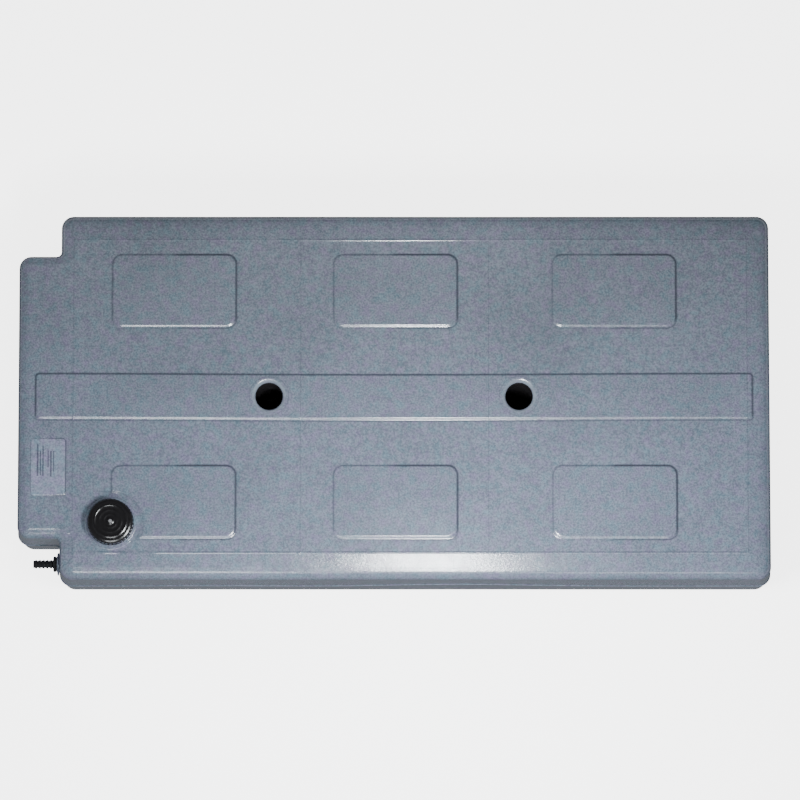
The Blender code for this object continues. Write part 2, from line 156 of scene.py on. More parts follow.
class Skin:
    """Points and faces gathered in blocks, then made into one mesh object."""

    def __init__(self):
        self.points = []
        self.faces = []
        self.count = 0

    def add(self, block):
        """Add an array of points and return their numbers."""
        block = np.asarray(block, float)
        self.points.append(block)
        numbers = np.arange(self.count, self.count + len(block))
        self.count += len(block)
        return numbers

    def join(self, first, second):
        """Quads between two closed loops of equally many points."""
        quads = np.stack([first, np.roll(first, -1), np.roll(second, -1), second], axis=1)
        self.faces += quads.tolist()

    def ring(self, before, flat_points, z):
        """A level loop of points, joined to the loop before it. Returns the new loop's numbers."""
        loop = self.add(np.column_stack([flat_points, np.full(len(flat_points), z)]))
        self.join(before, loop)
        return loop

    def make(self, name, fill=(), sharp_degrees=40):
        """The finished object. Each entry of fill is a set of loops that bound one flat region."""
        mesh = bpy.data.meshes.new(name)
        mesh.from_pydata(np.concatenate(self.points).tolist(), [], self.faces)
        bm = bmesh.new()
        bm.from_mesh(mesh)
        bm.verts.ensure_lookup_table()
        for loops in fill:
            edges = []
            for loop in loops:
                ring = [bm.verts[n] for n in loop]
                for here, there in zip(ring, ring[1:] + ring[:1]):
                    edges.append(bm.edges.get((here, there)) or bm.edges.new((here, there)))
            bmesh.ops.triangle_fill(bm, use_beauty=True, use_dissolve=False, edges=edges)
        bmesh.ops.recalc_face_normals(bm, faces=bm.faces)
        bm.to_mesh(mesh)
        bm.free()
        mesh.shade_smooth()
        mesh.set_sharp_from_angle(angle=math.radians(sharp_degrees))
        return add_object(name, mesh)


def smoothstep(t):
    t = np.clip(t, 0, 1)
    return t * t * (3 - 2 * t)


def shoulder(t):
    """A rise from 0 to 1 that is straight in the middle and rounded at its foot and top."""
    t = np.clip(t, 0, 1)
    bend = 0.25
    foot = t**2 / (2 * bend)
    top = 1 - bend - (1 - t) ** 2 / (2 * bend)
    return np.where(t < bend, foot, np.where(t > 1 - bend, top, t - bend / 2)) / (1 - bend)


def box_distance(x, y, centre, half, radius):
    """Signed distance to a rounded rectangle, negative inside."""
    out_x = np.abs(x - centre[0]) - half[0] + radius
    out_y = np.abs(y - centre[1]) - half[1] + radius
    outside = np.hypot(np.maximum(out_x, 0), np.maximum(out_y, 0))
    return outside + np.minimum(np.maximum(out_x, out_y), 0) - radius


def graded_lines(fixed, zones, base):
    """Coordinates through all the fixed ones, closer together in zones of (centre, half span, step)."""
    growth = 0.6
    fixed = sorted(fixed)
    lines = [fixed[0]]
    for low, high in zip(fixed, fixed[1:]):
        samples = np.linspace(low, high, 600)
        step = np.full(samples.shape, base)
        for centre, half, fine in zones:
            away = np.maximum(np.abs(samples - centre) - half, 0)
            step = np.minimum(step, fine + growth * away)
        pace = 1 / step
        total = np.concatenate([[0], np.cumsum((pace[1:] + pace[:-1]) / 2 * np.diff(samples))])
        count = max(1, math.ceil(total[-1] - 0.2))
        lines.extend(np.interp(np.linspace(0, total[-1], count + 1)[1:], total, samples))
    return np.array(lines)


def round_outer_corner(points, corner, signs, radius):
    """Pull points near an outward corner onto a quarter circle."""
    signs = np.array(signs, float)
    centre = np.array(corner) - radius * signs
    local = (points - centre) * signs
    near = (local > 0).all(axis=1)
    reach = local[near].max(axis=1)
    share = np.clip(reach / radius, 0, 1) ** 2
    scale = 1 - share * (1 - reach / np.hypot(*local[near].T))
    points[near] = centre + local[near] * scale[:, None] * signs


def round_about(points, centre, full, end, signs=None):
    """Turn squares round a centre into circles, wholly up to full and not at all from end on.

    signs keeps it to one quadrant, which rounds an inward corner.
    """
    centre = np.array(centre)
    local = points - centre
    reach = np.abs(local).max(axis=1)
    near = (reach < end) & (reach > 1e-6)
    if signs is not None:
        near &= (local * signs > 0).all(axis=1)
    reach = reach[near]
    share = 1 - smoothstep((reach - full) / (end - full))
    scale = 1 - share * (1 - reach / np.hypot(*local[near].T))
    points[near] = centre + local[near] * scale[:, None]


# ---- the tank's outline

class Outline:
    """The notched rectangle, drawn in from the parting line by two insets."""

    def __init__(self, inset, tab_inset, corner_r, notch_r):
        self.xs = (-HALF_LENGTH + tab_inset, MAIN_LEFT + inset, HALF_LENGTH - inset)
        self.ys = (HALF_WIDTH - inset, TAB_HALF_WIDTH - tab_inset)
        self.all_ys = (-self.ys[0], -self.ys[1], self.ys[1], self.ys[0])
        self.corner_r = corner_r
        self.notch_r = notch_r

    def round(self, points):
        """Round all eight corners of points that lie on or in the sharp outline."""
        tab_x, main_x, right_x = self.xs
        main_y, tab_y = self.ys
        for side in (-1, 1):
            for x, y, sign_x in ((right_x, main_y, 1), (main_x, main_y, -1), (tab_x, tab_y, -1)):
                round_outer_corner(points, (x, side * y), (sign_x, side), self.corner_r)
            centre = (main_x - self.notch_r, side * (tab_y + self.notch_r))
            round_about(points, centre, self.notch_r, 2.4 * self.notch_r, signs=(1, -side))

    def stretched(self, points, other):
        """Points of this outline moved to another outline's straight edges."""
        x = np.interp(points[:, 0], self.xs, other.xs)
        y = np.interp(points[:, 1], self.all_ys, other.all_ys)
        return np.stack([x, y], axis=1)


def edge_outline(turn, extra=0.0):
    """The outline at a turn of the rounded edge: 0 where the wall starts, a quarter at the face."""
    drawn = 1 - math.cos(turn)
    return Outline(
        DRAFT + EDGE_R * drawn + extra,
        DRAFT + TAB_EDGE_R * drawn + extra,
        CORNER_R - 0.6 * EDGE_R * drawn,
        NOTCH_R + 0.8 * EDGE_R * drawn,
    )


def wall_outline(z, extra=0.0):
    """The outline of the drafted wall at a height."""
    straight = PARTING_Z - EDGE_R
    lean = min(1.0, abs(z - PARTING_Z) / straight)
    inset = DRAFT * lean + extra
    return Outline(inset, inset, CORNER_R, NOTCH_R)


FACE_OUTLINE = edge_outline(QUARTER)


# ---- the tank's top face

def border_share(x, y):
    """0 on the flat face and 1 at the rounded edge, across the sloped border between."""
    tab_x, main_x, right_x = FACE_OUTLINE.xs
    main_y, tab_y = FACE_OUTLINE.ys
    tab_band, notch_band = 0.007, 0.01
    side = (np.abs(y) - CREASE_Y) / (main_y - CREASE_Y)
    end = (x - CREASE_RIGHT) / (right_x - CREASE_RIGHT)
    tab_end = (tab_x + tab_band - x) / tab_band
    notch_x = np.maximum(x - main_x, 0) / notch_band
    notch_y = np.maximum(tab_y - np.abs(y), 0) / tab_band
    notch = 1 - np.hypot(notch_x, notch_y)
    shares = [np.clip(s, 0, 1) for s in (side, end, tab_end, notch)]
    return np.clip(sum(s**4 for s in shares) ** 0.25, 0, 1)


def border_drop(share):
    """The border's fall, over twice as steep in its last few millimetres."""
    turn, steep = 0.92, 2.2
    gentle = (1 - (1 - turn) * steep) / turn
    return gentle * share + (steep - gentle) * np.maximum(share - turn, 0)


def line_share(away, half):
    """1 on a line and 0 from its half width on."""
    return smoothstep(1 - np.abs(away) / half)


def up_to_crease(value, crease):
    """1 on the flat face, fading to 0 a few millimetres past the crease."""
    past, width = 0.004, 0.006
    return smoothstep((crease + past - value) / width)


def distance(x, y, centre):
    return np.hypot(x - centre[0], y - centre[1])


def raised_shape(x, y, centre, half, radius, keep=np.inf):
    """A raised rounded rectangle: its height share, how far inside each point is, and its line of painted
    shade.
    """
    nudge = 0.0002
    inside = -box_distance(x, y, centre, half, radius)
    lean = (-box_distance(x, y - nudge, centre, half, radius) - inside) / nudge
    inside = np.minimum(inside, keep)
    near = smoothstep(-lean)
    width = FAR_SLOPE + (NEAR_SLOPE - FAR_SLOPE) * near
    # Painted shade: along the slopes that face away from -Y, and a thin line at the foot of the slopes that
    # face -Y.
    far_slope_shade = (1 - near) * line_share(inside - 0.4 * FAR_SLOPE, FAR_SHADE_HALF)
    near_foot_shade = 0.8 * near * line_share(inside + 0.001, NEAR_FOOT_SHADE_HALF)
    return shoulder(inside / width), inside, far_slope_shade + near_foot_shade


def raised_panels(x, y):
    """Each panel's centre and raised shape, cut back round the filler."""
    clear = distance(x, y, FILLER) - FILLER_CLEAR_R
    for centre_x in PANEL_X:
        for centre_y in (-PANEL_Y, PANEL_Y):
            yield centre_x, raised_shape(x, y, (centre_x, centre_y), PANEL_HALF, PANEL_R, clear)


def raised_strip(x, y):
    """The centre strip's raised shape. Along the middle it bows a little towards -Y."""
    bow = 0.0022 * np.cos(math.pi * x / 1.2) ** 2
    return raised_shape(x, y + bow, (0, 0), STRIP_HALF, STRIP_R)


def relief(x, y):
    """Height of everything that stands on the top face."""
    height = np.zeros_like(x)
    for _, (share, inside, _) in raised_panels(x, y):
        crown = smoothstep((inside - CROWN_START) / PANEL_CROWN_WIDTH)
        height = np.maximum(height, PANEL_RISE * share + PANEL_CROWN * crown)
    share, inside, _ = raised_strip(x, y)
    crown = smoothstep((inside - CROWN_START) / STRIP_CROWN_WIDTH)
    height = np.maximum(height, STRIP_RISE * share + STRIP_CROWN * crown)
    inside = -box_distance(x, y, LABEL_CENTRE, LABEL_HALF, LABEL_R)
    height = np.maximum(height, LABEL_RISE * smoothstep(inside / LABEL_SLOPE))
    for centre, half in LABEL_BARS:
        inside = -box_distance(x, y, centre, half, BAR_R)
        height = height + BAR_RISE * smoothstep(inside / BAR_SLOPE)
    boss = smoothstep((BOSS_R - distance(x, y, FILLER)) / BOSS_SLOPE)
    return np.maximum(height, BOSS_RISE * boss)


def mould_lines(x, y):
    """Fine raised witness lines where the mould's plates meet."""
    height = np.zeros_like(x)
    on_face_x = up_to_crease(x, CREASE_RIGHT) * up_to_crease(-x, -CREASE_LEFT)
    on_face_y = up_to_crease(np.abs(y), CREASE_Y)
    for seam_x in (-SEAM_X, SEAM_X):
        strength = 0.75 + 0.25 * np.sin(37 * y + 9 * seam_x)
        height += SEAM_RISE * strength * on_face_y * line_share(x - seam_x, SEAM_HALF)
    for line_y in (-CREASE_Y, CREASE_Y):
        height += CREASE_RISE * on_face_x * line_share(y - line_y, CREASE_HALF)
    height += 0.0006 * line_share(x + 0.02, 0.22) * line_share(y - CREASE_Y, 2 * CREASE_HALF)
    for line_x in (CREASE_LEFT, CREASE_RIGHT):
        height += END_CREASE_RISE * on_face_y * line_share(x - line_x, END_CREASE_HALF)
    tick_along = smoothstep((TICK_HALF[0] - np.abs(x - TICK[0])) / 0.002)
    return height + TICK_RISE * line_share(y - TICK[1], TICK_HALF[1]) * tick_along


def painted_shade_and_lines(x, y):
    """Painted shade along the relief's slopes and round the label pad, and darker lines along the mould seams
    and creases, 0 to 1.
    """
    shade_and_lines = np.zeros_like(x)
    # Painted shade along the panels' edges, heavier on each panel's right half.
    for centre_x, (_, _, line) in raised_panels(x, y):
        shade_and_lines = np.maximum(shade_and_lines, line * (0.75 + 0.25 * np.sign(x - centre_x)))
    shade_and_lines = np.maximum(shade_and_lines, 0.8 * raised_strip(x, y)[2])
    on_face_y = up_to_crease(np.abs(y), CREASE_Y)
    for seam_x in (-SEAM_X, SEAM_X):
        shade_and_lines = np.maximum(shade_and_lines, 0.4 * on_face_y * line_share(x - seam_x - 0.0009, 0.0016))
    for line_x in (CREASE_LEFT, CREASE_RIGHT):
        shade_and_lines = np.maximum(shade_and_lines, 0.35 * on_face_y * line_share(x - line_x, 0.0022))
    along = smoothstep((x - CREASE_LEFT) / 0.01) * smoothstep((CREASE_RIGHT - x) / 0.01)
    for crease, strength in ((-CREASE_Y, 0.55), (CREASE_Y, 0.25)):
        shade_and_lines = np.maximum(shade_and_lines, strength * along * line_share(y - crease - 0.0018, 0.002))
    # Painted shadow along the label pad's right edge, fainter round the rest of it.
    inside = -box_distance(x, y, LABEL_CENTRE, LABEL_HALF, LABEL_R)
    right = smoothstep((x - LABEL_CENTRE[0]) / 0.02)
    return np.maximum(shade_and_lines, (0.2 + 0.6 * right) * line_share(inside, 0.0018))


def rim_shade(points):
    """Painted shade on the far, right and left edges, fading a little way down the walls; the near edge,
    which faces the lights, gets none.
    """
    x, y, z = points.T
    far = smoothstep((y - CREASE_Y) / (HALF_WIDTH - CREASE_Y))
    right = smoothstep((x - CREASE_RIGHT) / (HALF_LENGTH - CREASE_RIGHT))
    left = smoothstep((-x - HALF_LENGTH + 0.022) / 0.02)
    high = smoothstep((z - FACE_Z + 0.018) / 0.01)
    return 0.38 * np.maximum.reduce([far, right, left]) * high


def sag(x, y, share):
    """Slow unevenness of the moulded face, none at its border."""
    wave = 0.45 * np.sin(5.1 * x + 0.6) * np.cos(6.3 * y - 0.4)
    wave += 0.35 * np.sin(9.7 * x - 1.9) * np.sin(8.2 * y + 1.1)
    wave += 0.2 * np.cos(17.0 * x + 2.3 * y)
    return SAG * wave * (1 - share)


def face_height(x, y, share):
    """The face's height over FACE_Z, level round the mouths of the tubes."""
    height = relief(x, y) + mould_lines(x, y) * (1 - share**8) + sag(x, y, share)
    height -= BAND_DROP * border_drop(share)
    level = TUBE_TOP - FACE_Z
    for centre in TUBE_CENTRES:
        past_mouth = distance(x, y, centre) - TUBE_MOUTH_R
        blended = level + (height - level) * smoothstep(past_mouth / MOUTH_BLEND)
        height = np.where(past_mouth < MOUTH_BLEND, blended, height)
    return height


def both_sides(middle, offset, half, step):
    """Two zones for graded_lines, one on each side of a middle."""
    return [(middle + side * offset, half, step) for side in (-1, 1)]


def face_lines():
    """The grid's lines, dense where the relief turns."""
    main_y, tab_y = FACE_OUTLINE.ys
    base, round_hole, shallow = 0.015, 0.0042, 0.003
    xs = [*FACE_OUTLINE.xs, FILLER.x - FILLER_HOLE_R, FILLER.x + FILLER_HOLE_R]
    ys = [*FACE_OUTLINE.all_ys, FILLER.y - FILLER_HOLE_R, FILLER.y + FILLER_HOLE_R]
    zones_x, zones_y = [], []
    for centre_x, _ in TUBE_CENTRES:
        xs += [centre_x - TUBE_MOUTH_R, centre_x + TUBE_MOUTH_R]
        zones_x.append((centre_x, TUBE_MOUTH_R + 0.003, round_hole))
    ys += [-TUBE_MOUTH_R, TUBE_MOUTH_R]
    zones_y.append((0, TUBE_MOUTH_R + 0.003, round_hole))
    for zones, middle in ((zones_x, FILLER.x), (zones_y, FILLER.y)):
        zones.append((middle, FILLER_HOLE_R, round_hole))
        zones += both_sides(middle, BOSS_R - 0.001, 0.002, 0.0011)
        zones += both_sides(middle, FILLER_CLEAR_R + 0.002, 0.003, 0.0015)
    for centre in PANEL_X:
        zones_x += both_sides(centre, PANEL_HALF[0] - FAR_SLOPE / 2, 0.002, 0.001)
        zones_x += both_sides(centre, PANEL_HALF[0] - 0.01, 0.007, shallow)
    for centre in (-PANEL_Y, PANEL_Y):
        zones_y += both_sides(centre, PANEL_HALF[1] - NEAR_SLOPE / 2, 0.0034, 0.0009)
        zones_y += both_sides(centre, PANEL_HALF[1] - 0.01, 0.007, shallow)
    zones_x += both_sides(0, STRIP_HALF[0] - FAR_SLOPE / 2, 0.002, 0.001)
    zones_y += both_sides(-0.001, STRIP_HALF[1] - NEAR_SLOPE / 2, 0.0044, 0.0009)
    for zones, middle, half in zip((zones_x, zones_y), LABEL_CENTRE, LABEL_HALF):
        zones += both_sides(middle, half - 0.001, 0.0015, 0.0008)
    zones_x += both_sides(0, SEAM_X, 0.0012, 0.0005)
    zones_y += both_sides(0, CREASE_Y, 0.0012, 0.0006)
    zones_y += both_sides(0, main_y, 0.02, 0.0027)
    zones_y += both_sides(0, tab_y, 0.015, 0.0026)
    zones_x += [(line, 0.0012, 0.0006) for line in (CREASE_LEFT, CREASE_RIGHT)]
    zones_x += [(edge, 0.02, 0.0027) for edge in FACE_OUTLINE.xs]
    zones_y.append((TICK[1], 0.0012, 0.0005))
    return graded_lines(xs, zones_x, base), graded_lines(ys, zones_y, base)


# ---- the tank's skin

def nearest(lines, value):
    return int(np.argmin(np.abs(lines - value)))


def walk(stops):
    """Grid steps along straight runs from stop to stop, closed, each stop once."""
    steps = []
    for (i, j), (k, m) in zip(stops, stops[1:] + stops[:1]):
        count = max(abs(k - i), abs(m - j))
        for n in range(count):
            steps.append((i + (k - i) * n // count, j + (m - j) * n // count))
    return np.array(steps)


class Face:
    """The top face: a graded grid pulled onto its outline and round the tubes and the filler hole."""

    def __init__(self, skin):
        self.skin = skin
        self.xs, self.ys = face_lines()
        grid_x, grid_y = np.meshgrid(self.xs, self.ys, indexing="ij")
        self.flat = np.stack([grid_x.ravel(), grid_y.ravel()], axis=1)
        self.placed = self.flat.copy()
        for centre in TUBE_CENTRES:
            round_about(self.placed, centre, TUBE_MOUTH_R, TUBE_MOUTH_R + 0.0055)
        round_about(self.placed, FILLER.xy, 0.046, 0.068)
        x, y = self.placed.T  # they change with the points
        share = border_share(x, y)
        FACE_OUTLINE.round(self.placed)
        height = face_height(x, y, share)
        used, renumbered = np.unique(self.squares(), return_inverse=True)
        self.numbers = np.full(len(self.flat), -1)
        self.numbers[used] = skin.add(np.column_stack([self.placed[used], FACE_Z + height[used]]))
        skin.faces += renumbered.reshape(-1, 4).tolist()
        # Painted shade and darker mould lines for each kept point.
        self.shade_and_lines = painted_shade_and_lines(x, y)[used]

    def squares(self):
        """The corners of the grid's squares, without the two notches and the three holes."""
        mid_x = (self.xs[1:] + self.xs[:-1])[:, None] / 2
        mid_y = (self.ys[1:] + self.ys[:-1])[None, :] / 2
        kept = ~((mid_x < FACE_OUTLINE.xs[1]) & (np.abs(mid_y) > FACE_OUTLINE.ys[1]))
        for centre, half in [(c, TUBE_MOUTH_R) for c in TUBE_CENTRES] + [(FILLER.xy, FILLER_HOLE_R)]:
            kept &= ~((np.abs(mid_x - centre[0]) < half) & (np.abs(mid_y - centre[1]) < half))
        i, j = np.nonzero(kept)
        here = i * len(self.ys) + j
        after = here + len(self.ys)
        return np.stack([here, after, after + 1, here + 1], axis=1)

    def loop(self, stops):
        """The loop of points through some grid corners, and their places in the grid."""
        steps = walk(stops)
        index = steps[:, 0] * len(self.ys) + steps[:, 1]
        return self.numbers[index], index

    def lay_circles(self, centre, half, levels):
        """Circles at (radius, height) levels, down from the edge of a hole. Returns the last."""
        left, right = nearest(self.xs, centre[0] - half), nearest(self.xs, centre[0] + half)
        low, high = nearest(self.ys, centre[1] - half), nearest(self.ys, centre[1] + half)
        loop, index = self.loop([(left, low), (right, low), (right, high), (left, high)])
        out = self.placed[index] - np.array(centre)
        out /= np.hypot(*out.T)[:, None]
        for radius, z in levels:
            loop = self.skin.ring(loop, np.array(centre) + out * radius, z)
        return loop

    def lay_walls(self, levels):
        """Loops at (outline, height) levels, down from the edge of the face. Returns the last."""
        tab_y = FACE_OUTLINE.ys[1]
        end, left, right = 0, nearest(self.xs, FACE_OUTLINE.xs[1]), len(self.xs) - 1
        low, high = 0, len(self.ys) - 1
        tab_low, tab_high = nearest(self.ys, -tab_y), nearest(self.ys, tab_y)
        main = [(left, low), (right, low), (right, high), (left, high)]
        tab = [(left, tab_high), (end, tab_high), (end, tab_low), (left, tab_low)]
        loop, index = self.loop(main + tab)
        for outline, z in levels:
            points = FACE_OUTLINE.stretched(self.flat[index], outline)
            outline.round(points)
            bow_walls(points, z)
            loop = self.skin.ring(loop, points, z)
        return loop


def bow_walls(points, z):
    """Bow the long walls inward, not at all at the edges and the corners."""
    up = math.sin(math.pi * np.clip(z / EDGE_Z, 0, 1)) ** 2
    along = 0.5 + 0.5 * np.cos(math.pi * np.clip(points[:, 0] / 0.5, -1, 1))
    side = smoothstep((np.abs(points[:, 1]) - TAB_HALF_WIDTH - 0.02) / 0.02)
    bow = 0.0016 * up * along * (1.1 + np.sin(11 * points[:, 0]))
    points[:, 1] -= np.sign(points[:, 1]) * side * bow


def wall_levels():
    """Outline and height down the rounded edges, the drafted walls and the parting flash."""
    levels = []
    for turn in np.linspace(QUARTER, 0, 9)[1:]:
        levels.append((edge_outline(turn), EDGE_Z - EDGE_R * (1 - math.sin(turn))))
    for z in np.linspace(EDGE_Z - EDGE_R, PARTING_Z + 0.0018, 6)[1:]:
        levels.append((wall_outline(z, FLASH), z))
    for above, inset in ((0.0009, FLASH), (0.0004, 0.0001), (-0.0004, 0.0), (-0.001, FLASH)):
        levels.append((wall_outline(PARTING_Z, inset), PARTING_Z + above))
    for z in np.linspace(PARTING_Z - 0.002, EDGE_R, 6):
        levels.append((wall_outline(z, FLASH * (z - EDGE_R) / (PARTING_Z - EDGE_R)), z))
    for turn in np.linspace(0, QUARTER, 8)[1:]:
        levels.append((edge_outline(turn), EDGE_R * (1 - math.sin(turn))))
    levels.append((edge_outline(QUARTER, 0.004), 0.0))
    return levels


def tube_levels():
    """Radius and height down a hold-down tube, with a rounded mouth at each end."""
    def mouth(turn):
        flare = (TUBE_MOUTH_R - TUBE_R) * (1 - math.cos(turn))
        return TUBE_R + flare, TUBE_MOUTH_DEPTH * (1 - math.sin(turn))

    upper = [(radius, TUBE_TOP - depth) for radius, depth in map(mouth, np.linspace(QUARTER, 0, 10)[1:])]
    straight = np.linspace(TUBE_TOP - TUBE_MOUTH_DEPTH, TUBE_MOUTH_DEPTH, 6)[1:-1]
    middle = [(TUBE_R - 0.0003 * math.sin(40 * z), z) for z in straight]
    lower = [mouth(turn) for turn in np.linspace(0, QUARTER, 9)]
    return upper + middle + lower + [(TUBE_MOUTH_R + 0.002, 0.0)]


def make_tank_skin():
    """The whole outside of the tank as one fine closed mesh, with the tubes and the room below the filler."""
    skin = Skin()
    face = Face(skin)
    underside = [face.lay_walls(wall_levels())]
    for centre in TUBE_CENTRES:
        underside.append(face.lay_circles(centre, TUBE_MOUTH_R, tube_levels()))
    ceiling = FACE_Z - WALL
    hollow = [
        (FILLER_HOLE_R, FACE_Z + BOSS_RISE - 0.0004),
        (FILLER_HOLE_R, ceiling + 0.0004),
        (FILLER_HOLE_R + 0.0004, ceiling),
        (HOLLOW_R - HOLLOW_CORNER, ceiling - 0.0005),
        (HOLLOW_R, ceiling - 0.0005 - HOLLOW_CORNER),
        (HOLLOW_R, WALL + HOLLOW_CORNER),
        (HOLLOW_R - HOLLOW_CORNER, WALL),
    ]
    bottom = face.lay_circles(FILLER.xy, FILLER_HOLE_R, hollow)
    ob = place(skin, "tank_skin", "tank", "tank_shell", fill=[underside, [bottom]])
    # Painted shade on the rims, joined with the face's painted shade and darker mould lines, kept as a point
    # attribute.
    shade_and_lines = rim_shade(np.concatenate(skin.points))
    on_face = slice(len(face.shade_and_lines))
    shade_and_lines[on_face] = np.maximum(shade_and_lines[on_face], face.shade_and_lines)
    ob.data.attributes.new("shade_and_lines", "FLOAT", "POINT").data.foreach_set("value", shade_and_lines)
    return ob


# ---- turned pieces

FILLET_STEPS = 4
THREAD_PITCH = 0.0055
THREAD_STEPS = 96


def turned(profile, steps, shape=None, centre=(0, 0, 0)):
    """A ring or a solid of revolution about Z from (radius, height) points.

    shape(angles, radii) returns the radii at each angle, as rows of angles.
    """
    skin = Skin()
    centre = np.array(centre)
    profile = np.array(profile, float)
    solid = profile[0, 0] == 0
    body = profile[1:-1] if solid else profile
    angles = (np.arange(steps) * FULL_TURN / steps)[:, None]
    radii = np.tile(body[:, 0], (steps, 1))
    if shape:
        radii = shape(angles, radii)
    heights = np.tile(body[:, 1], (steps, 1))
    points = np.stack([radii * np.cos(angles), radii * np.sin(angles), heights], axis=2) + centre
    loops = [skin.add(points[:, k]) for k in range(len(body))]
    for first, second in zip(loops, loops[1:]):
        skin.join(first, second)
    if solid:
        for loop, end in ((loops[0], profile[0]), (loops[-1], profile[-1])):
            tip = skin.add([centre + (0, 0, end[1])])[0]
            skin.faces += [[int(a), int(b), int(tip)] for a, b in zip(loop, np.roll(loop, -1))]
    else:
        skin.join(loops[-1], loops[0])
    return skin


def fillet(before, corner, after, radius):
    """Points of a rounded corner between two straight runs of a profile."""
    corner = np.array(corner)
    first, second = (run / np.linalg.norm(run) for run in np.array([before, after]) - corner)
    half = math.acos(float(np.clip(first @ second, -1, 1))) / 2
    reach = radius / math.tan(half)
    middle = corner + (first + second) / np.linalg.norm(first + second) * radius / math.sin(half)
    start, end = (math.atan2(*(corner + run * reach - middle)[::-1]) for run in (first, second))
    turn = (end - start + math.pi) % FULL_TURN - math.pi
    angles = [start + turn * k / FILLET_STEPS for k in range(FILLET_STEPS + 1)]
    return [(middle[0] + radius * math.cos(a), middle[1] + radius * math.sin(a)) for a in angles]


def rounded(*profile):
    """A profile with its corners rounded, from (radius, height, fillet) points."""
    out = []
    for k, (r, z, round_r) in enumerate(profile):
        if round_r:
            out += fillet(profile[k - 1][:2], (r, z), profile[(k + 1) % len(profile)][:2], round_r)
        else:
            out.append((r, z))
    return out


def washer(inner, outer, low, high, outer_fillet):
    """Profile of a flat ring."""
    inner_low, inner_high = (inner, low, 0.0003), (inner, high, 0.0003)
    return rounded(inner_low, (outer, low, outer_fillet), (outer, high, outer_fillet), inner_high)


def thread(skin, root_r, crest_r, start_z, turns):
    """A helical ridge about the filler's axis, sunk into the wall that carries it, with tapered ends."""
    sink = 0.0006 if crest_r > root_r else -0.0006
    stations = round(turns * THREAD_STEPS)
    fade = THREAD_STEPS // 6
    rows = []
    for station in range(stations + 1):
        angle = FULL_TURN * station / THREAD_STEPS
        z = start_z + THREAD_PITCH * station / THREAD_STEPS
        rise = min(1.0, 0.1 + station / fade, 0.1 + (stations - station) / fade)
        top = root_r + (crest_r - root_r) * rise
        near = root_r + (crest_r - root_r) * rise * 0.82
        lower = [(root_r - sink, -0.0012), (near, -0.00072), (top, -0.00048)]
        section = lower + [(r, -dz) for r, dz in lower[::-1]]
        rows.append([(r * math.cos(angle), r * math.sin(angle), z + dz) for r, dz in section])
    numbers = [skin.add(row) for row in np.array(rows) + np.array(FILLER)]
    for first, second in zip(numbers, numbers[1:]):
        skin.join(first, second)
    skin.faces.append(numbers[0].tolist())
    skin.faces.append(numbers[-1][::-1].tolist())


def place(skin, name, body, node=None, axis=None, sharp_degrees=40, fill=()):
    """Make a piece, lay it along its axis, tie it to its body and hide the CAD node it replaces."""
    ob = skin.make(name, fill, sharp_degrees)
    if axis is not None:
        ob.data.transform(axis)
    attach(ob, body)
    if node:
        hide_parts(node)
    return ob


# ---- filler neck, cap, gasket and valve

CAP_BOTTOM = 0.0056  # heights here are above the face
CAP_CEILING = 0.0239
CAP_SHOULDER = 0.0262
CAP_TOP = 0.0276
CAP_DISC_Z = CAP_TOP - 0.0006  # the disc inside its rim
CAP_SKIRT_R = 0.0375
CAP_FOOT_R = CAP_SKIRT_R - 0.0014
CAP_DISC_R = 0.027
CAP_BORE_R = 0.0325
CAP_RINGS = (0.018, 0.0105)
CAP_RIBS = 36
RIB_LOW = CAP_BOTTOM + 0.003
RIB_HIGH = CAP_SHOULDER - 0.003
RIB_LEVELS = 9
VENT_HOLE_R = 0.0023

NECK_BORE_R = 0.0255
NECK_R = 0.0296
NECK_TOP = 0.022
SPIGOT_R = 0.0284
SPIGOT_END = -0.006
FLANGE_R = 0.0365
FLANGE_LOW = 0.0023
FLANGE_HIGH = 0.005
THREAD_START = 0.0085


